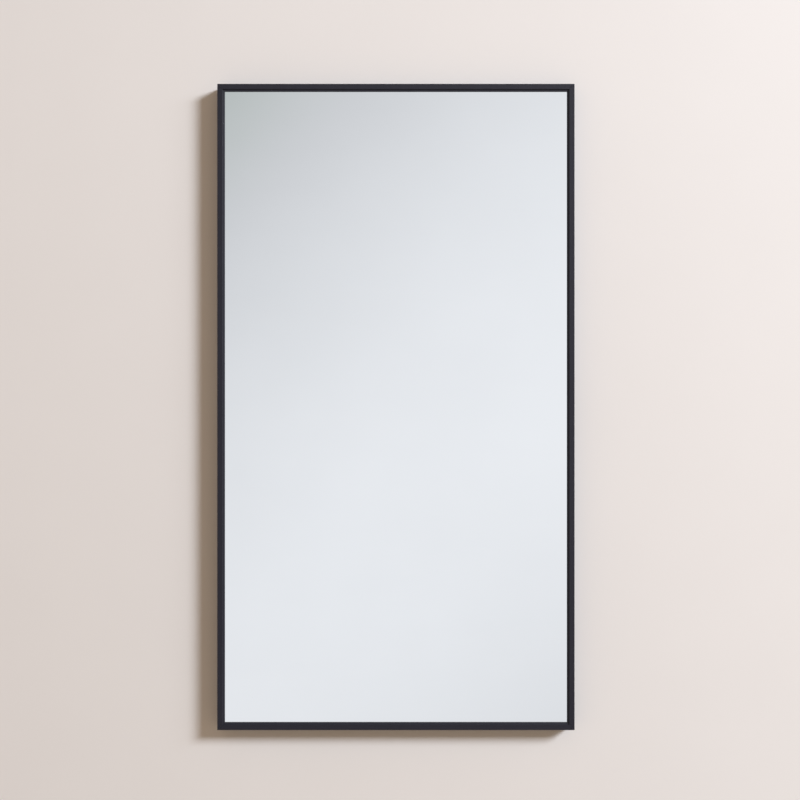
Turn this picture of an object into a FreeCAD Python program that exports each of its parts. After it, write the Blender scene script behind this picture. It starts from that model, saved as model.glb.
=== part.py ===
import FreeCAD, Part
import math
import os
import Sketcher

# Wall mirror in a slim mitred aluminium frame, hung from a Z bar that is screwed to the wall.
# +X is the viewer's right, +Z is up, and the mirror faces -Y. The wall is the plane y = 0, and the
# origin is the middle of the wall bar's row of screw slots. Lengths are in millimetres.

doc = FreeCAD.newDocument("wall_mirror")
sheet = doc.addObject("Spreadsheet::Sheet", "sizes")

SIZES = [
    ("overall_width", 507, "frame, outside"),
    ("overall_height", 917, "frame, outside"),
    ("section_wall", 1.5, "wall of the extruded section"),
    ("rim_width", 7.5, "flat front face of the frame"),
    ("rim_step", 1.6, "rim face down to the lip"),
    ("lip_width", 2.8, "lip that shows inside the rim"),
    ("lip_slope", 0.6, "lip's front face, lower at its inner edge"),
    ("lip_thickness", 1.5, "lip, front to rear"),
    ("arris_radius", 0.3, "rounded edges of the rim"),
    ("channel_width", 9, "rear channel, inside"),
    ("channel_depth", 5.1, "rear channel, inside"),
    ("channel_mouth", 5, "slot between the rear lips"),
    ("mitre_gap", 0.2, "hairline between two mitred ends"),
    ("tape_thickness", 0.8, "foam tape in front of the glass"),
    ("glass_thickness", 4, "silvered glass"),
    ("glass_edge_gap", 1.5, "glass edge to the section's outer wall"),
    ("glass_arris", 0.5, "ground edge of the glass"),
    ("film_thickness", 0.3, "safety film behind the silvering"),
    ("board_thickness", 6, "fibreboard back"),
    ("board_edge_gap", 0.5, "board edge to the section's outer wall"),
    ("block_length", 40, "rubber setting block"),
    ("block_spacing", 250, "between the two setting blocks"),
    ("clip_length", 40, "bowed spring clip, along the rail"),
    ("clip_width", 10, "spring clip, across the rail"),
    ("clip_inset", 4, "spring clip's outer edge from the frame's edge"),
    ("clip_thickness", 0.5, "spring steel strip"),
    ("clip_rise", 2.66, "spring clip, front to rear"),
    ("clip_play", 0.02, "clip to shelf and clip to board"),
    ("clip_spacing_across", 240, "clips along the top and bottom rails"),
    ("clip_spacing_up", 280, "clips along the stiles"),
    ("plate_arm", 36, "arms of the corner plates, from the frame's edge"),
    ("plate_thickness", 2, "tapped corner plate"),
    ("shim_thickness", 1, "plain corner shim"),
    ("plate_play", 0.2, "corner plates in the channel, each side"),
    ("set_screw_radius", 2, "set screw in the corner plate"),
    ("set_screw_inset", 26, "set screw from the frame's corner"),
    ("set_screw_play", 0.05, "set screw in its tapped hole"),
    ("socket_width", 2, "hexagon socket, across the flats"),
    ("socket_depth", 1.6, "hexagon socket"),
    ("bumper_radius", 5, "rubber bumper"),
    ("bumper_height", 2, "bumper, which is the gap behind the frame"),
    ("bumper_edge", 0.5, "chamfer round the bumper"),
    ("bumper_inset", 60, "bumper from the frame's corner"),
    ("hang_drop", 100, "slot row below the frame's top edge"),
    ("bar_length", 440, "wall bar"),
    ("bar_thickness", 2, "wall bar"),
    ("bar_foot", 12, "wall bar below the slot row"),
    ("bar_floor", 12, "slot row up to the floor of the bar's pocket"),
    ("slot_inset", 16.8, "slot's middle from the bar's end, which sets the slots at the pitch of studs"),
    ("slot_length", 14, "slot, end to end"),
    ("slot_radius", 2.75, "half the slot's width"),
    ("rail_length", 390, "hanging rail"),
    ("rail_thickness", 2, "hanging rail"),
    ("rail_flange", 24, "hanging rail's flange above its web"),
    ("rail_hook", 12, "hanging rail's hook below its web"),
    ("hook_play", 0.3, "rail's hook in the bar's pocket, each side"),
    ("hook_spare", 2, "bar's hook taller than the rail's"),
    ("seat_play", 0.1, "rail's web above the bar's hook"),
    ("screw_end", 30, "end screws from the ends of the hanging rail"),
    ("screw_row", 14, "screws above the rail's web"),
    ("screw_radius", 1.75, "shank of a rail screw"),
    ("screw_length", 6.5, "rail screw under its head"),
    ("screw_point", 1.5, "tapered end of a rail screw"),
    ("head_radius", 3.5, "head of a rail screw"),
    ("head_height", 2, "head of a rail screw"),
    ("head_edge", 0.8, "bevel round the screw's head"),
    ("recess_length", 3.6, "cross recess, tip to tip"),
    ("recess_width", 0.9, "one arm of the cross recess"),
    ("recess_depth", 1.2, "cross recess"),
    ("hole_play", 0.1, "rail screw in its hole"),
    ("cut_margin", 2, "how far a cut reaches past what it cuts"),
]
SCREWS_ON_RAIL = 6

for row, (alias, number, meaning) in enumerate(SIZES, start=1):
    sheet.set(f"A{row}", alias)
    sheet.set(f"B{row}", str(number))
    sheet.setAlias(f"B{row}", alias)
    sheet.set(f"C{row}", meaning)
doc.recompute()

# Places that follow from the sizes, measured inward from the frame's edge or forward from its rear.
SECTION_WIDTH = "(2 * sizes.section_wall + sizes.channel_width)"
MOUTH_START = "(sizes.section_wall + (sizes.channel_width - sizes.channel_mouth) / 2)"
MOUTH_END = f"({MOUTH_START} + sizes.channel_mouth)"
SHELF_REAR = "(sizes.section_wall + sizes.channel_depth)"
SHELF_FRONT = f"({SHELF_REAR} + sizes.section_wall)"
BOARD_REAR = f"({SHELF_FRONT} + sizes.clip_rise + 2 * sizes.clip_play)"
FILM_REAR = f"({BOARD_REAR} + sizes.board_thickness)"
GLASS_REAR = f"({FILM_REAR} + sizes.film_thickness)"
GLASS_FRONT = f"({GLASS_REAR} + sizes.glass_thickness)"
LIP_REAR = f"({GLASS_FRONT} + sizes.tape_thickness)"
LIP_FRONT = f"({LIP_REAR} + sizes.lip_thickness)"
RIM_FRONT = f"({LIP_FRONT} + sizes.rim_step)"
RIM_REAR = f"({RIM_FRONT} - sizes.section_wall)"
RIM_INSIDE = "(sizes.rim_width - sizes.section_wall)"
LIP_EDGE = "(sizes.rim_width + sizes.lip_width)"
GLASS_EDGE = "(sizes.section_wall + sizes.glass_edge_gap)"
BOARD_EDGE = "(sizes.section_wall + sizes.board_edge_gap)"

# Heights above the slot row, and distances out from the wall.
MIDDLE_HEIGHT = "(sizes.hang_drop - sizes.overall_height / 2)"
BOTTOM_HEIGHT = "(sizes.hang_drop - sizes.overall_height)"
BAR_TOP = "(sizes.bar_floor + sizes.rail_hook + sizes.hook_spare)"
WEB_UNDER = f"({BAR_TOP} + sizes.seat_play)"
WEB_TOP = f"({WEB_UNDER} + sizes.rail_thickness)"
SCREW_HEIGHT = f"({WEB_TOP} + sizes.screw_row)"
BOARD_FROM_WALL = f"(sizes.bumper_height + {BOARD_REAR})"
FLANGE_FROM_WALL = f"({BOARD_FROM_WALL} - sizes.rail_thickness)"
POCKET = "(sizes.rail_thickness + 2 * sizes.hook_play)"
SCREW_SPACING = f"((sizes.rail_length - 2 * sizes.screw_end) / {SCREWS_ON_RAIL - 1})"

# The frame's four sides, in order round it: the middle of the outer edge, and the length.
SIDES = {
    "bottom": ("0", BOTTOM_HEIGHT, "sizes.overall_width"),
    "right": ("sizes.overall_width / 2", MIDDLE_HEIGHT, "sizes.overall_height"),
    "top": ("0", "sizes.hang_drop", "sizes.overall_width"),
    "left": ("-sizes.overall_width / 2", MIDDLE_HEIGHT, "sizes.overall_height"),
}
# The frame's four corners, in order round it: across and height.
CORNERS = {
    "bottom_left": ("-sizes.overall_width / 2", BOTTOM_HEIGHT),
    "bottom_right": ("sizes.overall_width / 2", BOTTOM_HEIGHT),
    "top_right": ("sizes.overall_width / 2", "sizes.hang_drop"),
    "top_left": ("-sizes.overall_width / 2", "sizes.hang_drop"),
}

# The sketcher's numbers for the points of a line or an arc.
START, END, CENTRE = range(1, 4)
nodes = []


def value(expression):
    """The number that an expression of the sheet's sizes gives now."""
    return float(sheet.evalExpression(expression))


def new_body(label):
    """A sub-part of the mirror, listed for writing out."""
    body = doc.addObject("PartDesign::Body", label)
    body.Label = label
    nodes.append(body)
    return body


def quarter_turns(place, order):
    """Degrees about Y that bring the first of the sides or corners to this one."""
    return -90 * list(order).index(place)


def on_mirror(body, across="0", forward="0", height=MIDDLE_HEIGHT, turn=0):
    """Place a body whose X runs along the frame, Y inward and Z forward from the frame's rear."""
    facing = FreeCAD.Rotation(FreeCAD.Vector(1, 0, 0), 90)
    turned = FreeCAD.Rotation(FreeCAD.Vector(0, 1, 0), turn)
    body.Placement = FreeCAD.Placement(FreeCAD.Vector(), turned.multiply(facing))
    body.setExpression("Placement.Base.x", across)
    body.setExpression("Placement.Base.y", f"-(sizes.bumper_height + {forward})")
    body.setExpression("Placement.Base.z", height)


def new_sketch(body, role, name):
    """A sketch on one of the body's own origin planes."""
    plane = next(feature for feature in body.Origin.OriginFeatures if feature.Role == role)
    sketch = body.newObject("Sketcher::SketchObject", name)
    sketch.AttachmentSupport = [(plane, "")]
    sketch.MapMode = "FlatFace"
    return sketch


def hold(sketch, kind, expression, *points):
    """A dimension of the sketch, bound to an expression of the sizes."""
    index = sketch.addConstraint(Sketcher.Constraint(kind, *points, value(expression)))
    sketch.setExpression(f"Constraints[{index}]", expression)


def hold_point(sketch, piece, point, across, up):
    """Hold a point of the sketch at its two coordinates."""
    hold(sketch, "DistanceX", across, -1, 1, piece, point)
    hold(sketch, "DistanceY", up, -1, 1, piece, point)


def draw_outline(sketch, corners):
    """A closed outline of straight lines through corners given as pairs of expressions."""
    places = [FreeCAD.Vector(value(across), value(up), 0) for across, up in corners]
    first = sketch.GeometryCount
    for start, end in zip(places, places[1:] + places[:1]):
        sketch.addGeometry(Part.LineSegment(start, end))
    for i, (across, up) in enumerate(corners):
        before = first + (i - 1) % len(corners)
        sketch.addConstraint(Sketcher.Constraint("Coincident", before, END, first + i, START))
        hold_point(sketch, first + i, START, across, up)


def draw_box(sketch, left, low, right, high):
    """A rectangle between four expressions."""
    draw_outline(sketch, [(left, low), (right, low), (right, high), (left, high)])


def draw_circle(sketch, across, up, radius):
    """A circle held by its centre and radius."""
    middle = FreeCAD.Vector(value(across), value(up), 0)
    circle = sketch.addGeometry(Part.Circle(middle, FreeCAD.Vector(0, 0, 1), value(radius)))
    hold(sketch, "Radius", radius, circle)
    hold_point(sketch, circle, CENTRE, across, up)


def draw_slot(sketch, across, up, length, radius):
    """A round-ended slot lying along the sketch's first axis."""
    reach = f"({length} / 2 - {radius})"
    x, y, r, half = value(across), value(up), value(radius), value(reach)
    normal = FreeCAD.Vector(0, 0, 1)
    quarter = math.pi / 2
    right_circle = Part.Circle(FreeCAD.Vector(x + half, y, 0), normal, r)
    left_circle = Part.Circle(FreeCAD.Vector(x - half, y, 0), normal, r)
    right = sketch.addGeometry(Part.ArcOfCircle(right_circle, -quarter, quarter))
    left = sketch.addGeometry(Part.ArcOfCircle(left_circle, quarter, 3 * quarter))
    top = sketch.addGeometry(
        Part.LineSegment(FreeCAD.Vector(x + half, y + r, 0), FreeCAD.Vector(x - half, y + r, 0))
    )
    low = sketch.addGeometry(
        Part.LineSegment(FreeCAD.Vector(x - half, y - r, 0), FreeCAD.Vector(x + half, y - r, 0))
    )
    for one, one_end, other, other_end in (
        (right, END, top, START),
        (top, END, left, START),
        (left, END, low, START),
        (low, END, right, START),
    ):
        sketch.addConstraint(Sketcher.Constraint("Tangent", one, one_end, other, other_end))
    hold(sketch, "Radius", radius, right)
    hold_point(sketch, right, CENTRE, f"{across} + {reach}", up)
    hold_point(sketch, left, CENTRE, f"{across} - {reach}", up)


def pad(body, sketch, length, symmetric=False, backward=False):
    """Pad a sketch by an expression."""
    feature = body.newObject("PartDesign::Pad", f"{sketch.Name}_pad")
    feature.Profile = sketch
    feature.setExpression("Length", length)
    feature.SideType = "Symmetric" if symmetric else "One side"
    feature.Reversed = backward
    sketch.Visibility = False
    doc.recompute()
    return feature


def cut_through(body, sketch):
    """Cut a sketch right through the body, both ways."""
    before = body.Shape.Volume
    feature = body.newObject("PartDesign::Pocket", f"{sketch.Name}_cut")
    feature.Profile = sketch
    feature.SideType = "Symmetric"
    feature.Type = "ThroughAll"
    doc.recompute()
    if not feature.Shape.Volume < before:
        raise RuntimeError(f"{feature.Label} cuts nothing")
    return feature


def cut_into(body, sketch, depth, backward=False):
    """Cut a sketch into the body by an expression."""
    before = body.Shape.Volume
    feature = body.newObject("PartDesign::Pocket", f"{sketch.Name}_cut")
    feature.Profile = sketch
    feature.setExpression("Length", depth)
    feature.Reversed = backward
    doc.recompute()
    if not feature.Shape.Volume < before:
        raise RuntimeError(f"{feature.Label} cuts nothing")
    return feature


def dress_edges(body, kind, base, size_property, size, wanted):
    """Round or bevel the base feature's edges whose middle passes the test."""
    names = []
    for number, edge in enumerate(base.Shape.Edges, start=1):
        middle = edge.valueAt((edge.FirstParameter + edge.LastParameter) / 2)
        if wanted(middle):
            names.append(f"Edge{number}")
    feature = body.newObject(kind, f"{base.Name}_edges")
    feature.Base = (base, names)
    feature.setExpression(size_property, size)
    doc.recompute()
    return feature


def near(one, other):
    """Are two lengths the same?"""
    return abs(one - other) < 1e-6


def make_frame_side(label, side):
    """One mitred length of the extruded section: rim and lip in front, channelled flange behind."""
    across, height, length = SIDES[side]
    body = new_body(label)
    section = new_sketch(body, "YZ_Plane", f"{label}_section")
    draw_outline(
        section,
        [
            ("0", "0"),
            (MOUTH_START, "0"),
            (MOUTH_START, "sizes.section_wall"),
            ("sizes.section_wall", "sizes.section_wall"),
            ("sizes.section_wall", SHELF_REAR),
            (f"{SECTION_WIDTH} - sizes.section_wall", SHELF_REAR),
            (f"{SECTION_WIDTH} - sizes.section_wall", "sizes.section_wall"),
            (MOUTH_END, "sizes.section_wall"),
            (MOUTH_END, "0"),
            (SECTION_WIDTH, "0"),
            (SECTION_WIDTH, SHELF_FRONT),
            ("sizes.section_wall", SHELF_FRONT),
            ("sizes.section_wall", RIM_REAR),
            (RIM_INSIDE, RIM_REAR),
            (RIM_INSIDE, LIP_REAR),
            (LIP_EDGE, LIP_REAR),
            (LIP_EDGE, f"{LIP_FRONT} - sizes.lip_slope"),
            ("sizes.rim_width", LIP_FRONT),
            ("sizes.rim_width", RIM_FRONT),
            ("0", RIM_FRONT),
        ],
    )
    bar = pad(body, section, length, symmetric=True)
    rim_face = value(RIM_FRONT)
    rim_edges = (0, value("sizes.rim_width"))
    dress_edges(
        body,
        "PartDesign::Fillet",
        bar,
        "Radius",
        "sizes.arris_radius",
        lambda middle: near(middle.x, 0)
        and near(middle.z, rim_face)
        and any(near(middle.y, place) for place in rim_edges),
    )
    mitres = new_sketch(body, "XY_Plane", f"{label}_mitres")
    tip = f"({length} / 2 - sizes.mitre_gap / sqrt(2) + sizes.cut_margin)"
    foot = f"({tip} - {SECTION_WIDTH} - 2 * sizes.cut_margin)"
    for sign in ("", "-"):
        draw_outline(
            mitres,
            [
                (f"{sign}{tip}", "-sizes.cut_margin"),
                (f"{sign}{tip}", f"{SECTION_WIDTH} + sizes.cut_margin"),
                (f"{sign}{foot}", f"{SECTION_WIDTH} + sizes.cut_margin"),
            ],
        )
    cut_through(body, mitres)
    on_mirror(body, across=across, height=height, turn=quarter_turns(side, SIDES))


def draw_corner(sketch):
    """The L that fills the rear channel round a corner."""
    near_side = "(sizes.section_wall + sizes.plate_play)"
    far_side = "(sizes.section_wall + sizes.channel_width - sizes.plate_play)"
    draw_outline(
        sketch,
        [
            (near_side, near_side),
            ("sizes.plate_arm", near_side),
            ("sizes.plate_arm", far_side),
            (far_side, far_side),
            (far_side, "sizes.plate_arm"),
            (near_side, "sizes.plate_arm"),
        ],
    )


def make_corner_plate(corner):
    """Tapped L plate that lies against the rear lips of the channel."""
    across, height = CORNERS[corner]
    body = new_body(f"corner_plate_{corner}")
    shape = new_sketch(body, "XY_Plane", f"{body.Name}_shape")
    draw_corner(shape)
    pad(body, shape, "sizes.plate_thickness")
    taps = new_sketch(body, "XY_Plane", f"{body.Name}_taps")
    tap_radius = "sizes.set_screw_radius + sizes.set_screw_play"
    draw_circle(taps, "sizes.set_screw_inset", f"{SECTION_WIDTH} / 2", tap_radius)
    draw_circle(taps, f"{SECTION_WIDTH} / 2", "sizes.set_screw_inset", tap_radius)
    cut_through(body, taps)
    on_mirror(body, across, "sizes.section_wall", height, quarter_turns(corner, CORNERS))


def make_corner_shim(corner):
    """Plain L shim between the set screws and the shelf of the section."""
    across, height = CORNERS[corner]
    body = new_body(f"corner_shim_{corner}")
    shape = new_sketch(body, "XY_Plane", f"{body.Name}_shape")
    draw_corner(shape)
    pad(body, shape, "sizes.shim_thickness")
    shim_rear = f"({SHELF_REAR} - sizes.shim_thickness)"
    on_mirror(body, across, shim_rear, height, quarter_turns(corner, CORNERS))


def make_corner_screws():
    """Eight set screws: a pair drawn at one corner and mirrored to the others."""
    body = new_body("corner_screws")
    inset = "sizes.set_screw_inset"
    middle = f"{SECTION_WIDTH} / 2"
    left, low = "-sizes.overall_width / 2", "-sizes.overall_height / 2"
    places = [(f"{left} + {inset}", f"{low} + {middle}"), (f"{left} + {middle}", f"{low} + {inset}")]
    shanks = new_sketch(body, "XY_Plane", "set_screw_shanks")
    sockets = new_sketch(body, "XY_Plane", "set_screw_sockets")
    across_corners = "(sizes.socket_width / sqrt(3))"
    for across, up in places:
        draw_circle(shanks, across, up, "sizes.set_screw_radius")
        draw_outline(
            sockets,
            [
                (f"{across} + {across_corners}", up),
                (f"{across} + {across_corners} / 2", f"{up} + sizes.socket_width / 2"),
                (f"{across} - {across_corners} / 2", f"{up} + sizes.socket_width / 2"),
                (f"{across} - {across_corners}", up),
                (f"{across} - {across_corners} / 2", f"{up} - sizes.socket_width / 2"),
                (f"{across} + {across_corners} / 2", f"{up} - sizes.socket_width / 2"),
            ],
        )
    screws = pad(body, shanks, "sizes.channel_depth - sizes.shim_thickness")
    drives = cut_into(body, sockets, "sizes.socket_depth", backward=True)
    copies = body.newObject("PartDesign::MultiTransform", "set_screw_copies")
    copies.Originals = [screws, drives]
    mirrors = []
    for role in ("YZ_Plane", "XZ_Plane"):
        mirror = body.newObject("PartDesign::Mirrored", f"set_screw_mirror_{role}")
        plane = next(feature for feature in body.Origin.OriginFeatures if feature.Role == role)
        mirror.MirrorPlane = (plane, [""])
        mirrors.append(mirror)
    copies.Transformations = mirrors
    body.Tip = copies
    on_mirror(body, forward="sizes.section_wall")


def make_tape(side, end_gap):
    """Foam tape on the rear of the lip, stopping short of the corner by the end gap."""
    across, height, length = SIDES[side]
    body = new_body(f"glazing_tape_{side}")
    strip = new_sketch(body, "XY_Plane", f"{body.Name}_strip")
    reach = f"({length} / 2 - {end_gap})"
    draw_box(strip, f"-{reach}", RIM_INSIDE, reach, LIP_EDGE)
    pad(body, strip, "sizes.tape_thickness")
    on_mirror(body, across, GLASS_FRONT, height, quarter_turns(side, SIDES))


def draw_sheet(sketch, edge):
    """A sheet inside the frame, its edge this far in from the frame's own."""
    half_width = f"(sizes.overall_width / 2 - {edge})"
    half_height = f"(sizes.overall_height / 2 - {edge})"
    draw_box(sketch, f"-{half_width}", f"-{half_height}", half_width, half_height)


def make_glass():
    """Silvered glass with ground edges."""
    body = new_body("mirror_glass")
    pane = new_sketch(body, "XY_Plane", "glass_pane")
    draw_sheet(pane, GLASS_EDGE)
    sheet_of_glass = pad(body, pane, "sizes.glass_thickness")
    faces = (0, value("sizes.glass_thickness"))
    dress_edges(
        body,
        "PartDesign::Chamfer",
        sheet_of_glass,
        "Size",
        "sizes.glass_arris",
        lambda middle: any(near(middle.z, face) for face in faces),
    )
    on_mirror(body, forward=GLASS_REAR)


def make_film():
    """Safety film bonded to the back of the glass."""
    body = new_body("safety_film")
    film = new_sketch(body, "XY_Plane", "film_sheet")
    draw_sheet(film, f"({GLASS_EDGE} + sizes.glass_arris)")
    pad(body, film, "sizes.film_thickness")
    on_mirror(body, forward=FILM_REAR)


def screw_places():
    """Where the rail screws stand along the rail, from the middle."""
    first = -(SCREWS_ON_RAIL - 1) / 2
    return [f"{first + i} * {SCREW_SPACING}" for i in range(SCREWS_ON_RAIL)]


def make_board():
    """Fibreboard back with pilot holes for the hanging rail's screws."""
    body = new_body("backing_board")
    board = new_sketch(body, "XY_Plane", "board_sheet")
    draw_sheet(board, BOARD_EDGE)
    pad(body, board, "sizes.board_thickness")
    pilots = new_sketch(body, "XY_Plane", "board_pilots")
    for across in screw_places():
        pilot_height = f"{SCREW_HEIGHT} - {MIDDLE_HEIGHT}"
        draw_circle(pilots, across, pilot_height, "sizes.screw_radius + sizes.hole_play")
    cut_into(body, pilots, "sizes.screw_length - sizes.rail_thickness + sizes.hole_play", backward=True)
    on_mirror(body, forward=BOARD_REAR)


def make_setting_block(label, place):
    """Rubber block that carries the glass on the bottom rail."""
    _, height, _ = SIDES["bottom"]
    body = new_body(label)
    block = new_sketch(body, "XY_Plane", f"{label}_block")
    half = "sizes.block_length / 2"
    draw_box(block, f"-{half}", "sizes.section_wall", half, GLASS_EDGE)
    pad(body, block, "sizes.glass_thickness")
    on_mirror(body, place, GLASS_REAR, height)


def make_spring_clip(label, side, along):
    """Strip of spring steel bowed between the section's shelf and the board."""
    across, height, _ = SIDES[side]
    body = new_body(label)
    half = "(sizes.clip_length / 2)"
    rise = "sizes.clip_rise"
    outer = f"(({half}^2 + {rise}^2 - sizes.clip_thickness^2) / (2 * ({rise} - sizes.clip_thickness)))"
    inner = f"({outer} - sizes.clip_thickness)"
    bow = new_sketch(body, "XZ_Plane", f"{label}_bow")
    middle = FreeCAD.Vector(0, value(outer), 0)
    arcs = []
    for radius in (outer, inner):
        r, reach = value(radius), value(half)
        drop = (r * r - reach * reach) ** 0.5
        circle = Part.Circle(middle, FreeCAD.Vector(0, 0, 1), r)
        first = circle.parameter(middle + FreeCAD.Vector(-reach, -drop, 0))
        last = circle.parameter(middle + FreeCAD.Vector(reach, -drop, 0))
        arc = bow.addGeometry(Part.ArcOfCircle(circle, first, last))
        hold(bow, "Radius", radius, arc)
        hold_point(bow, arc, CENTRE, "0", outer)
        hold(bow, "DistanceX", f"-{half}", -1, 1, arc, START)
        hold(bow, "DistanceX", half, -1, 1, arc, END)
        arcs.append(bow.Geometry[arc])
    for point, ends in ((START, [arc.StartPoint for arc in arcs]), (END, [arc.EndPoint for arc in arcs])):
        line = bow.addGeometry(Part.LineSegment(*ends))
        bow.addConstraint(Sketcher.Constraint("Coincident", line, START, 0, point))
        bow.addConstraint(Sketcher.Constraint("Coincident", line, END, 1, point))
    pad(body, bow, "sizes.clip_width", backward=True)
    # the strip starts at the clip's inset and at its place along the side
    shift = {
        "bottom": (along, "sizes.clip_inset"),
        "top": (along, "-sizes.clip_inset"),
        "right": ("-sizes.clip_inset", along),
        "left": ("sizes.clip_inset", along),
    }[side]
    forward = f"({SHELF_FRONT} + sizes.clip_play)"
    turn = quarter_turns(side, SIDES)
    on_mirror(body, f"{across} + {shift[0]}", forward, f"{height} + {shift[1]}", turn)


def make_bumper(corner):
    """Rubber bumper stuck across the rear lips, its free end on the wall."""
    across, height = CORNERS[corner]
    inward = "" if "left" in corner else "-"
    upward = "" if "bottom" in corner else "-"
    body = new_body(f"wall_bumper_{corner}")
    disc = new_sketch(body, "XY_Plane", f"{body.Name}_disc")
    draw_circle(disc, "0", "0", "sizes.bumper_radius")
    rubber = pad(body, disc, "sizes.bumper_height")
    dress_edges(
        body,
        "PartDesign::Chamfer",
        rubber,
        "Size",
        "sizes.bumper_edge",
        lambda middle: near(middle.z, 0),
    )
    on_mirror(
        body,
        f"{across} + {inward}sizes.bumper_inset",
        "-sizes.bumper_height",
        f"{height} + {upward}{SECTION_WIDTH} / 2",
    )


def make_hanging_rail():
    """Z rail on the board: its flange is screwed on, and its hook drops behind the wall bar's."""
    body = new_body("hanging_rail")
    hook_rear = "-sizes.hook_play"
    hook_front = "-(sizes.hook_play + sizes.rail_thickness)"
    profile = new_sketch(body, "YZ_Plane", "rail_profile")
    draw_outline(
        profile,
        [
            (hook_rear, f"{WEB_UNDER} - sizes.rail_hook"),
            (hook_rear, WEB_TOP),
            (f"-{FLANGE_FROM_WALL}", WEB_TOP),
            (f"-{FLANGE_FROM_WALL}", f"{WEB_TOP} + sizes.rail_flange"),
            (f"-{BOARD_FROM_WALL}", f"{WEB_TOP} + sizes.rail_flange"),
            (f"-{BOARD_FROM_WALL}", WEB_UNDER),
            (hook_front, WEB_UNDER),
            (hook_front, f"{WEB_UNDER} - sizes.rail_hook"),
        ],
    )
    pad(body, profile, "sizes.rail_length", symmetric=True)
    holes = new_sketch(body, "XZ_Plane", "rail_holes")
    for across in screw_places():
        draw_circle(holes, across, SCREW_HEIGHT, "sizes.screw_radius + sizes.hole_play")
    cut_through(body, holes)


def make_rail_screws():
    """Pan-head screws with a cross recess, one turned profile repeated along the rail."""
    body = new_body("rail_screws")
    profile = new_sketch(body, "XZ_Plane", "screw_profile")
    draw_outline(
        profile,
        [
            ("0", "-sizes.head_height"),
            ("sizes.head_radius - sizes.head_edge", "-sizes.head_height"),
            ("sizes.head_radius", "sizes.head_edge - sizes.head_height"),
            ("sizes.head_radius", "0"),
            ("sizes.screw_radius", "0"),
            ("sizes.screw_radius", "sizes.screw_length - sizes.screw_point"),
            ("0", "sizes.screw_length"),
        ],
    )
    turned = body.newObject("PartDesign::Revolution", "screw_turned")
    turned.Profile = profile
    turned.ReferenceAxis = (profile, ["V_Axis"])
    turned.Angle = 360
    doc.recompute()
    recess = new_sketch(body, "XY_Plane", "screw_recess")
    recess.setExpression("AttachmentOffset.Base.z", "-sizes.head_height")
    tip, side = "sizes.recess_length / 2", "sizes.recess_width / 2"
    draw_outline(
        recess,
        [
            (tip, f"-{side}"),
            (tip, side),
            (side, side),
            (side, tip),
            (f"-{side}", tip),
            (f"-{side}", side),
            (f"-{tip}", side),
            (f"-{tip}", f"-{side}"),
            (f"-{side}", f"-{side}"),
            (f"-{side}", f"-{tip}"),
            (side, f"-{tip}"),
            (side, f"-{side}"),
        ],
    )
    cross = cut_into(body, recess, "sizes.recess_depth", backward=True)
    row = body.newObject("PartDesign::LinearPattern", "screw_row")
    row.Originals = [turned, cross]
    row.Direction = (profile, ["H_Axis"])
    row.setExpression("Length", "sizes.rail_length - 2 * sizes.screw_end")
    row.Occurrences = SCREWS_ON_RAIL
    body.Tip = row
    on_mirror(body, screw_places()[0], f"({BOARD_REAR} - sizes.rail_thickness)", SCREW_HEIGHT)


def make_wall_bar():
    """Z bar screwed to the wall through two slots, its hook standing off to make the pocket."""
    body = new_body("wall_bar")
    hook_rear = f"-{POCKET}"
    hook_front = f"-({POCKET} + sizes.bar_thickness)"
    profile = new_sketch(body, "YZ_Plane", "bar_profile")
    draw_outline(
        profile,
        [
            ("0", "-sizes.bar_foot"),
            ("0", "sizes.bar_floor"),
            (hook_rear, "sizes.bar_floor"),
            (hook_rear, BAR_TOP),
            (hook_front, BAR_TOP),
            (hook_front, "sizes.bar_floor - sizes.bar_thickness"),
            ("-sizes.bar_thickness", "sizes.bar_floor - sizes.bar_thickness"),
            ("-sizes.bar_thickness", "-sizes.bar_foot"),
        ],
    )
    pad(body, profile, "sizes.bar_length", symmetric=True)
    slots = new_sketch(body, "XZ_Plane", "bar_slots")
    slot_place = "(sizes.bar_length / 2 - sizes.slot_inset)"
    for sign in ("", "-"):
        draw_slot(slots, f"{sign}{slot_place}", "0", "sizes.slot_length", "sizes.slot_radius")
    cut_through(body, slots)


make_wall_bar()
make_frame_side("bottom_rail", "bottom")
make_frame_side("right_stile", "right")
make_frame_side("top_rail", "top")
make_frame_side("left_stile", "left")
for corner_name in CORNERS:
    make_corner_plate(corner_name)
    make_corner_shim(corner_name)
    make_bumper(corner_name)
make_corner_screws()
for side_name in ("top", "bottom"):
    make_tape(side_name, RIM_INSIDE)
for side_name in ("left", "right"):
    make_tape(side_name, LIP_EDGE)
make_glass()
make_film()
make_board()
make_setting_block("setting_block_left", "-sizes.block_spacing / 2")
make_setting_block("setting_block_right", "sizes.block_spacing / 2")
for side_name in ("top", "bottom"):
    for hand, step in (("left", "(-1 / 2)"), ("right", "(1 / 2)")):
        place = f"{step} * sizes.clip_spacing_across"
        make_spring_clip(f"spring_clip_{side_name}_{hand}", side_name, place)
for side_name in ("left", "right"):
    for level, step in (("lower", "(-1)"), ("middle", "0"), ("upper", "1")):
        place = f"{step} * sizes.clip_spacing_up"
        make_spring_clip(f"spring_clip_{side_name}_{level}", side_name, place)
make_hanging_rail()
make_rail_screws()

doc.recompute()
failed = [item.Label for item in doc.Objects if {"Invalid", "Error"} & set(item.State)]
failed += [body.Label for body in nodes if body.Shape.isNull() or not body.Shape.isValid()]
if failed:
    raise RuntimeError(f"not built: {failed}")
os.makedirs("parts", exist_ok=True)
for body in nodes:
    body.Shape.exportStep(f"parts/{body.Label}.step")
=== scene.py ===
import math

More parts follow.
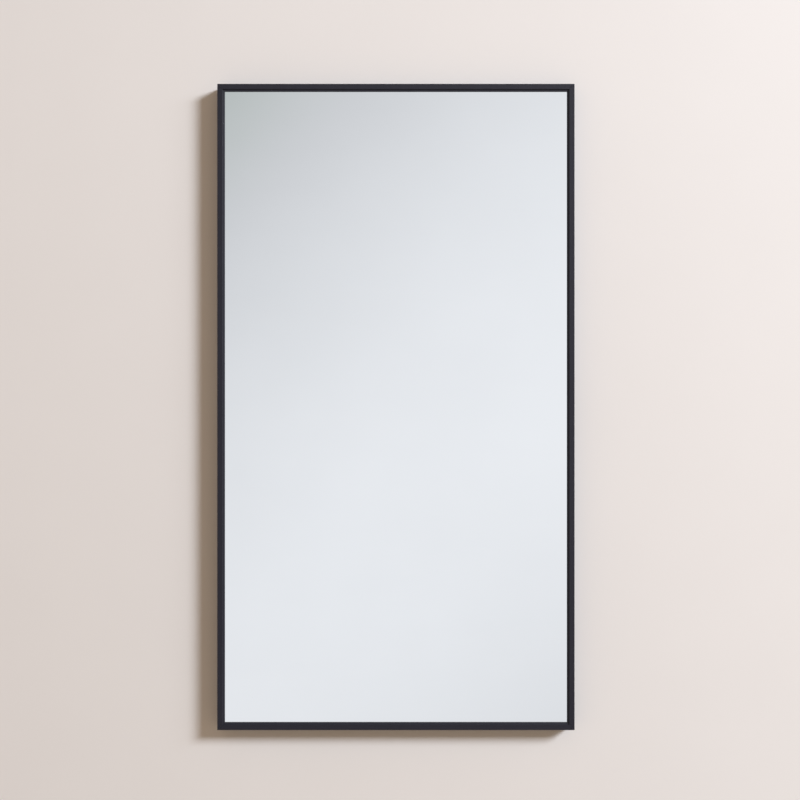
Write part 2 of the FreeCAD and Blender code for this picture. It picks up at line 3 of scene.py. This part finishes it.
import bpy
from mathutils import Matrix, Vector


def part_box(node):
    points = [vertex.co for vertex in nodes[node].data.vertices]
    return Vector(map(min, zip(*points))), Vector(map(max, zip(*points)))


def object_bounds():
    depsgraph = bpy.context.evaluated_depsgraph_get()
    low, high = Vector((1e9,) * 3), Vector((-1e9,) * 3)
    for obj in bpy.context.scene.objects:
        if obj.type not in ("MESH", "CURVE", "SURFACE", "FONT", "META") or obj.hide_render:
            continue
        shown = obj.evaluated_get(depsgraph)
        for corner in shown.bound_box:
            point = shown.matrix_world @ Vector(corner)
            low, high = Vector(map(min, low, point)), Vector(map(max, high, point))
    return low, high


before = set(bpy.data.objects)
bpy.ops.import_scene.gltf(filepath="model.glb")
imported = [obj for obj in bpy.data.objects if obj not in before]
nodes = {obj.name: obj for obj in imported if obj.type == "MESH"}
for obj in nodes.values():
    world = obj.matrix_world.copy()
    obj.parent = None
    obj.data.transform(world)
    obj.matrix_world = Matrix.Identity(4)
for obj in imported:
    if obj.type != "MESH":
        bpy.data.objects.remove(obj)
cad_low, cad_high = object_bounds()


# Wall bar: a Z-shaped aluminium extrusion screwed to the wall through its two slots.
# Mill finish, with fine die lines along its length and a few scuffs from handling.
class Wire:
    """An output of a finish's node tree, which can be used in sums."""

    def __init__(self, tree, output=None):
        self.tree = tree
        self.output = output

    def add(self, kind, settings=(), inputs=(), out=0):
        """Add a node, set it up, feed its sockets and give one of its outputs."""
        node = self.tree.nodes.new(kind)
        for name, setting in dict(settings).items():
            setattr(node, name, setting)
        for key, feed in dict(inputs).items():
            if isinstance(feed, Wire):
                self.tree.links.new(feed.output, node.inputs[key])
            else:
                node.inputs[key].default_value = feed
        return Wire(self.tree, node.outputs[out] if len(node.outputs) else None)

    def sum(self, operation, first, second):
        return self.add("ShaderNodeMath", {"operation": operation}, {0: first, 1: second})

    def __add__(self, other):
        return self.sum("ADD", self, other)

    def __radd__(self, other):
        return self.sum("ADD", other, self)

    def __sub__(self, other):
        return self.sum("SUBTRACT", self, other)

    def __rsub__(self, other):
        return self.sum("SUBTRACT", other, self)

    def __mul__(self, other):
        return self.sum("MULTIPLY", self, other)

    def __rmul__(self, other):
        return self.sum("MULTIPLY", other, self)

    def at_least(self, other):
        return self.sum("MAXIMUM", self, other)

    def at_most(self, other):
        return self.sum("MINIMUM", self, other)

    def step(self, low, high):
        """0 below low, 1 above high, smooth between."""
        limits = {"Value": self, "From Min": low, "From Max": high}
        return self.add("ShaderNodeMapRange", {"interpolation_type": "SMOOTHSTEP"}, limits)

    def tint(self, low, high):
        """The low colour where this is 0, the high colour where it is 1."""
        return self.add("ShaderNodeMix", {"data_type": "RGBA"}, {0: self, 6: low, 7: high}, out=2)

    def place(self):
        """Where a point is on the piece at rest, in metres."""
        return self.add("ShaderNodeTexCoord", out="Object")

    def stretched(self, x, y, z):
        return self.add("ShaderNodeVectorMath", {"operation": "MULTIPLY"}, {0: self, 1: (x, y, z)})

    def noise(self, scale, detail=2.0, roughness=0.5):
        sockets = {"Vector": self, "Scale": scale, "Detail": detail, "Roughness": roughness}
        return self.add("ShaderNodeTexNoise", {}, sockets)

    def edges(self, radius):
        """1 on sharp or tightly rounded edges, 0 on flats."""
        rounded = self.add("ShaderNodeBevel", {"samples": 4}, {"Radius": radius})
        flat = self.add("ShaderNodeNewGeometry", out="Normal")
        alike = {0: rounded, 1: flat}
        same = self.add("ShaderNodeVectorMath", {"operation": "DOT_PRODUCT"}, alike, out="Value")
        return (1 - same).step(0.01, 0.2)

    def relief(self, height, depth):
        return self.add("ShaderNodeBump", {}, {"Height": height, "Distance": depth, "Strength": 1.0})

    def surface(self, **sockets):
        """The principled surface, with spaces for the underscores of the socket names."""
        named = {name.replace("_", " "): feed for name, feed in sockets.items()}
        shader = self.add("ShaderNodeBsdfPrincipled", {}, named)
        return self.add("ShaderNodeOutputMaterial", {}, {"Surface": shader})


def new_finish(name):
    finish = bpy.data.materials.new(name)
    finish.use_nodes = True
    finish.node_tree.nodes.clear()
    return finish, Wire(finish.node_tree)


def coat(finish, *names):
    for name in names:
        for slot in nodes[name].material_slots:
            slot.material = finish


mill_aluminium, wire = new_finish("mill_aluminium")
die_lines = wire.place().stretched(6, 2400, 2400).noise(1, 3)
scuffs = wire.place().stretched(90, 600, 600).noise(1, 4, 0.6).step(0.6, 0.72)
dulling = wire.place().noise(35, 3)
worn = wire.edges(0.0006)
bare_metal = dulling.tint((0.60, 0.61, 0.62, 1), (0.74, 0.75, 0.76, 1))
wire.surface(
    Base_Color=(scuffs * 0.5).tint(bare_metal, (0.5, 0.5, 0.5, 1)),
    Metallic=1.0,
    Roughness=0.32 + 0.14 * die_lines + 0.12 * scuffs - 0.06 * worn,
    Normal=wire.relief(die_lines - 0.6 * scuffs, 0.00002),
)
coat(mill_aluminium, "wall_bar")


# Frame: four lengths of extruded aluminium, mitred at 45 degrees, with a flat rim, a sloped lip set
# back from it and a channelled flange behind. Satin charcoal powder coat with a fine grain whose specks
# are painted lighter as tiny glints, a painted highlight, baked on before the mitres are closed, and
# thinner over the edges.
powder_coat, wire = new_finish("frame_powder_coat")
orange_peel = wire.place().noise(1000, 2)
# Specks of the coat's fine grain: their relief is real bump, and their lighter colour is a painted
# highlight, tiny glints.
grains_and_painted_glints = wire.place().noise(3600, 1).step(0.6, 0.75)
thickness = wire.place().noise(16, 3)
handled = wire.place().noise(60, 4, 0.6).step(0.55, 0.75)
thin_edges = wire.edges(0.0008)
charcoal = thickness.tint((0.0078, 0.0064, 0.0118, 1), (0.0112, 0.0094, 0.0172, 1))
# The grain's specks are mixed into the coat as a lighter colour: painted glints.
speckled_with_painted_glints = (grains_and_painted_glints * 0.4).tint(charcoal, (0.055, 0.055, 0.065, 1))
wire.surface(
    Base_Color=(thin_edges * 0.35).tint(speckled_with_painted_glints, (0.035, 0.035, 0.04, 1)),
    Specular_IOR_Level=0.34,
    Roughness=0.54 + 0.07 * thickness + 0.04 * handled - 0.06 * thin_edges,
    Normal=wire.relief(orange_peel + 0.5 * grains_and_painted_glints, 0.00007),
)
coat(powder_coat, "bottom_rail", "right_stile", "top_rail", "left_stile")


# Corner hardware: tapped L plates, plain L shims and socket set screws, which lock each mitre
# through the rear channel. Stamped steel, bright zinc plated, with a faint yellow and blue cast.
zinc_plate, wire = new_finish("zinc_plate")
spangle = wire.add("ShaderNodeTexVoronoi", {}, {"Vector": wire.place(), "Scale": 900.0}, out="Color")
spangle = wire.add("ShaderNodeSeparateColor", {}, {"Color": spangle})
stamping = wire.place().noise(240, 4)
cast = wire.place().noise(120, 2)
worn = wire.edges(0.0005)
wire.surface(
    Base_Color=cast.tint((0.56, 0.55, 0.50, 1), (0.55, 0.58, 0.64, 1)),
    Metallic=1.0,
    Roughness=0.24 + 0.12 * spangle + 0.14 * stamping - 0.08 * worn,
    Normal=wire.relief(stamping, 0.00002),
)
for corner in ("bottom_left", "bottom_right", "top_right", "top_left"):
    coat(zinc_plate, f"corner_plate_{corner}", f"corner_shim_{corner}")
coat(zinc_plate, "corner_screws")


# Glazing tape: closed-cell black foam strip stuck behind the lip, which cushions the glass.
# Cut ends and edges show its cells.
foam, wire = new_finish("foam_tape")
cells = wire.add("ShaderNodeTexVoronoi", {}, {"Vector": wire.place(), "Scale": 3600.0}, out="Distance")
patches = wire.place().noise(300, 3)
wire.surface(
    Base_Color=patches.tint((0.010, 0.010, 0.011, 1), (0.022, 0.022, 0.023, 1)),
    Specular_IOR_Level=0.12,
    Roughness=0.82 + 0.12 * patches,
    Normal=wire.relief(cells, 0.00008),
)
for side in ("top", "bottom", "left", "right"):
    coat(foam, f"glazing_tape_{side}")


# Mirror: 4 mm float glass with ground edges, silvered, and bedded on two rubber setting blocks.
# The face mirrors cleanly with the faint cool tint of the glass; its edges are frosted by the wheel.
glass_low, glass_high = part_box("mirror_glass")
arris_depth = 0.0005
silvered_glass, wire = new_finish("silvered_glass")
depth = wire.add("ShaderNodeSeparateXYZ", {}, {"Vector": wire.place()}, out="Y")
ground = depth.step(glass_low.y + 0.02 * arris_depth, glass_low.y + 0.1 * arris_depth)
wiped = wire.place().stretched(5, 5, 22).noise(1, 4, 0.6)
wheel_marks = wire.place().noise(2600, 2)
silver = wiped.tint((0.915, 0.935, 0.945, 1), (0.93, 0.948, 0.957, 1))
frosted = wheel_marks.tint((0.20, 0.27, 0.25, 1), (0.34, 0.41, 0.38, 1))
polish = 0.004 + 0.012 * wiped.step(0.55, 0.9)
wire.surface(
    Base_Color=ground.tint(silver, frosted),
    Metallic=1 - ground,
    Roughness=ground * (0.38 + 0.1 * wheel_marks) + (1 - ground) * polish,
)
coat(silvered_glass, "mirror_glass")


# Safety film: a woven plastic film bonded over the paint on the silvering, so that broken glass
# holds together. Grey, with a fine square weave.
safety_film, wire = new_finish("safety_film")
warp = wire.add("ShaderNodeTexWave", {"bands_direction": "X"}, {"Vector": wire.place(), "Scale": 160.0})
weft = wire.add("ShaderNodeTexWave", {"bands_direction": "Z"}, {"Vector": wire.place(), "Scale": 160.0})
weave = 0.5 * warp + 0.5 * weft
wire.surface(
    Base_Color=weave.tint((0.36, 0.38, 0.39, 1), (0.52, 0.54, 0.55, 1)),
    Roughness=0.5 + 0.2 * weave,
    Normal=wire.relief(weave, 0.00004),
)
coat(safety_film, "safety_film")


# Setting blocks and wall bumpers: moulded black rubber. The blocks carry the glass on the bottom
# rail, and the stick-on bumpers hold the frame off the wall; both have a dusty bloom.
rubber, wire = new_finish("black_rubber")
skin = wire.place().noise(2200, 3)
bloom = wire.place().noise(260, 4, 0.6).step(0.45, 0.75)
scuffed = wire.edges(0.0006)
wire.surface(
    Base_Color=(0.6 * bloom + 0.4 * scuffed).tint((0.012, 0.012, 0.012, 1), (0.040, 0.039, 0.038, 1)),
    Roughness=0.62 + 0.2 * bloom,
    Normal=wire.relief(skin, 0.00003),
)
for hand in ("left", "right"):
    coat(rubber, f"setting_block_{hand}")
for corner in ("bottom_left", "bottom_right", "top_right", "top_left"):
    coat(rubber, f"wall_bumper_{corner}")


# Backing board: 6 mm fibreboard, raw on both faces, with short pressed fibres, paler flecks and
# faint sanding lines. It keeps the glass flat and carries the hanging rail.
fibreboard, wire = new_finish("fibreboard")
clumps = wire.place().noise(70, 5, 0.6)
fibres = wire.place().noise(1500, 4, 0.65)
flecks = wire.place().stretched(520, 900, 900).noise(1, 2).step(0.64, 0.74)
shives = wire.place().stretched(700, 900, 420).noise(1, 2).step(0.66, 0.76)
sanding = wire.place().stretched(1800, 900, 9).noise(1, 2)
pressed = (0.4 * clumps + 0.6 * fibres).tint((0.235, 0.150, 0.085, 1), (0.440, 0.310, 0.195, 1))
pressed = (flecks * 0.55).tint(pressed, (0.56, 0.43, 0.29, 1))
pressed = (shives * 0.6).tint(pressed, (0.135, 0.080, 0.045, 1))
wire.surface(
    Base_Color=pressed,
    Roughness=0.68 + 0.14 * fibres + 0.06 * sanding,
    Normal=wire.relief(fibres + 0.5 * sanding + 0.4 * flecks, 0.00004),
)
coat(fibreboard, "backing_board")


# Spring clips: strips of tempered steel pushed in bowed between the frame's flange and the board,
# which press the sandwich forward onto the tape. Blue-grey from the temper, rolled lengthwise.
def tempered_steel(name, along):
    finish, wire = new_finish(name)
    rolling = wire.place().stretched(*[14 if axis == along else 2200 for axis in "xyz"]).noise(1, 3)
    temper = wire.place().noise(90, 3)
    worn = wire.edges(0.0004)
    blued = temper.tint((0.16, 0.17, 0.20, 1), (0.30, 0.31, 0.33, 1))
    wire.surface(
        Base_Color=(worn * 0.6).tint(blued, (0.5, 0.5, 0.5, 1)),
        Metallic=1.0,
        Roughness=0.28 + 0.16 * rolling,
        Normal=wire.relief(rolling, 0.00001),
    )
    return finish


rail_clip_steel = tempered_steel("rail_clip_steel", "x")
stile_clip_steel = tempered_steel("stile_clip_steel", "z")
for hand in ("left", "right"):
    coat(rail_clip_steel, f"spring_clip_top_{hand}", f"spring_clip_bottom_{hand}")
    for level in ("lower", "middle", "upper"):
        coat(stile_clip_steel, f"spring_clip_{hand}_{level}")


# Hanging rail: the wall bar's mate, of the same extrusion stock, held to the board by a row of
# zinc plated pan-head screws. Its hook drops into the bar's pocket.
coat(mill_aluminium, "hanging_rail")
coat(zinc_plate, "rail_screws")


# Wall: a plain warm plaster backdrop that the mirror hangs on and throws its shadow on. It shows from
# the front only, so the back of the mirror can be seen and lit, and it fades out far from the mirror.
def flat_sheet(name, corners):
    mesh = bpy.data.meshes.new(name)
    mesh.from_pydata(corners, [], [(0, 1, 2, 3)])
    sheet = bpy.data.objects.new(name, mesh)
    bpy.context.scene.collection.objects.link(sheet)
    return sheet


stage_reach = 3
floor_height = -1.76
wall_top = 2
wall_gap = 0.0004
wall = flat_sheet(
    "wall",
    [
        (-stage_reach, wall_gap, floor_height),
        (stage_reach, wall_gap, floor_height),
        (stage_reach, wall_gap, wall_top),
        (-stage_reach, wall_gap, wall_top),
    ],
)
plaster, wire = new_finish("plaster")
trowelled = wire.place().noise(7, 4)
grain = wire.place().noise(420, 3)
paint = wire.add(
    "ShaderNodeBsdfPrincipled",
    {},
    {
        "Base Color": trowelled.tint((0.828, 0.788, 0.758, 1), (0.852, 0.812, 0.782, 1)),
        "Roughness": 0.8 + 0.1 * grain,
        "Normal": wire.relief(grain, 0.00004),
    },
)
behind = wire.add("ShaderNodeNewGeometry", out="Backfacing")
lamp_ray = wire.add("ShaderNodeLightPath", out="Is Shadow Ray")
seen = wire.add("ShaderNodeLightPath", out="Is Camera Ray")
reach = wire.add("ShaderNodeLightPath", out="Ray Length")
in_the_gap = (1 - seen) * (1 - reach.step(0.04, 0.05))
clear = wire.add("ShaderNodeBsdfTransparent")
middle = (cad_low + cad_high) / 2
places = {0: wire.place(), 1: middle}
from_mirror = wire.add("ShaderNodeVectorMath", {"operation": "DISTANCE"}, places, out="Value")
far_off = from_mirror.step(0.95, 2.0)
hidden = behind.at_least(lamp_ray).at_least(in_the_gap).at_least(far_off)
shown = wire.add("ShaderNodeMixShader", {}, {0: hidden, 1: paint, 2: clear})
wire.add("ShaderNodeOutputMaterial", {}, {"Surface": shown})
wall.data.materials.append(plaster)


# Floor: a plain pale studio floor, as far below the mirror as the floor of a room would be.
# It fades out towards its rim, so that no hard edge shows in the mirror or behind it.
floor = flat_sheet(
    "floor",
    [
        (-stage_reach, -stage_reach, floor_height),
        (stage_reach, -stage_reach, floor_height),
        (stage_reach, stage_reach, floor_height),
        (-stage_reach, stage_reach, floor_height),
    ],
)
studio_floor, wire = new_finish("studio_floor")
mottle = wire.place().noise(3, 4)
boards = wire.add(
    "ShaderNodeBsdfPrincipled",
    {},
    {
        "Base Color": mottle.tint((0.50, 0.49, 0.48, 1), (0.54, 0.53, 0.52, 1)),
        "Roughness": 0.6 + 0.1 * mottle,
    },
)
level_place = {0: wire.place().stretched(1, 1, 0)}
from_middle = wire.add("ShaderNodeVectorMath", {"operation": "LENGTH"}, level_place, out="Value")
clear = wire.add("ShaderNodeBsdfTransparent")
faded = wire.add("ShaderNodeMixShader", {}, {0: from_middle.step(1.2, 2.9), 1: boards, 2: clear})
wire.add("ShaderNodeOutputMaterial", {}, {"Surface": faded})
floor.data.materials.append(studio_floor)
floor.visible_diffuse = False


# Light: a large soft lamp high on the right in front, a weaker one further round to the side, and one
# behind for the back. The mirror shows a pale surround: faintly clouded, brightest in a band that
# leans to the right, and a little greener where it darkens.
def soft_lamp(name, toward, distance, size, level, colour):
    """An area lamp that lights a matt surface facing it to about this level."""
    lamp = bpy.data.lights.new(name, "AREA")
    lamp.color = colour
    lamp.shape = "ELLIPSE"
    lamp.size, lamp.size_y = size
    lamp.energy = level * math.pi**2 * distance**2
    holder = bpy.data.objects.new(name, lamp)
    bpy.context.scene.collection.objects.link(holder)
    holder.location = middle + Vector(toward).normalized() * distance
    holder.rotation_mode = "QUATERNION"
    holder.rotation_quaternion = (-Vector(toward)).to_track_quat("-Z", "Y")


daylight = (0.842, 0.909, 1.0)
white = (1.0, 1.0, 1.0)
soft_lamp("key_lamp", (1.2, -1, 0.70), distance=7.0, size=(2.1, 1.75), level=0.975, colour=daylight)
soft_lamp("side_lamp", (1.8, -1, 0.75), distance=7.0, size=(3.05, 1.75), level=0.227, colour=daylight)
soft_lamp("back_lamp", (-0.5, 0.75, 0.6), distance=5.0, size=(4.0, 3.0), level=0.62, colour=white)

surround = bpy.data.worlds.new("surround")
bpy.context.scene.world = surround
surround.use_nodes = True
surround.node_tree.nodes.clear()
wire = Wire(surround.node_tree)
heading = wire.add("ShaderNodeTexCoord", out="Generated")
sideways = wire.add("ShaderNodeSeparateXYZ", {}, {"Vector": heading}, out="X")
upward = wire.add("ShaderNodeSeparateXYZ", {}, {"Vector": heading}, out="Z")
off_band = upward - 0.9 * sideways + 0.09
clouds = heading.noise(12, 4)
band = 0.848 + 0.04 * clouds + 0.15 * sideways - 1.66 * off_band * off_band
wide = (0.62 + 0.2 * sideways + 0.4 * upward).at_least(0.48).at_most(0.85)
straight_on = 1 - (2 * sideways * sideways + upward * upward).step(0.08, 0.6)
mirrored = straight_on * band.at_least(0) + (1 - straight_on) * wide
watched = wire.add("ShaderNodeLightPath", out="Is Camera Ray")
bluer = (band.step(0.5, 0.68) + 1 - straight_on + watched).at_most(1)
cool = bluer.tint((0.94, 1.0, 0.985, 1), (0.99, 1.0, 1.035, 1))
backdrop = (watched * 0.8 + (1 - watched) * mirrored).tint((0, 0, 0, 1), cool)
shown_to = watched
for ray in ("Is Glossy Ray", "Is Transmission Ray"):
    shown_to = shown_to.at_least(wire.add("ShaderNodeLightPath", out=ray))
ambient = wire.add("ShaderNodeBackground", {}, {"Color": (1.0, 0.79, 0.60, 1), "Strength": 0.37})
scenery = wire.add("ShaderNodeBackground", {}, {"Color": backdrop, "Strength": 1.0})
both = wire.add("ShaderNodeMixShader", {}, {0: shown_to, 1: ambient, 2: scenery})
wire.add("ShaderNodeOutputWorld", {}, {"Surface": both})


# Camera: square on to the wall, a little above and right of the mirror's middle. The picture is
# view_width wide at the rim's face.
camera_right = 0.0058
camera_distance = 1.877
camera_height = -0.3486
view_width = 1.135
sensor_width = 36
camera_data = bpy.data.cameras.new("camera")
camera_data.sensor_width = sensor_width
camera_data.lens = sensor_width * (camera_distance + cad_low.y) / view_width
camera = bpy.data.objects.new("camera", camera_data)
bpy.context.scene.collection.objects.link(camera)
camera.location = (camera_right, -camera_distance, camera_height)
camera.rotation_euler = (math.pi / 2, 0, 0)
bpy.context.scene.camera = camera
bpy.context.scene.view_settings.view_transform = "Standard"
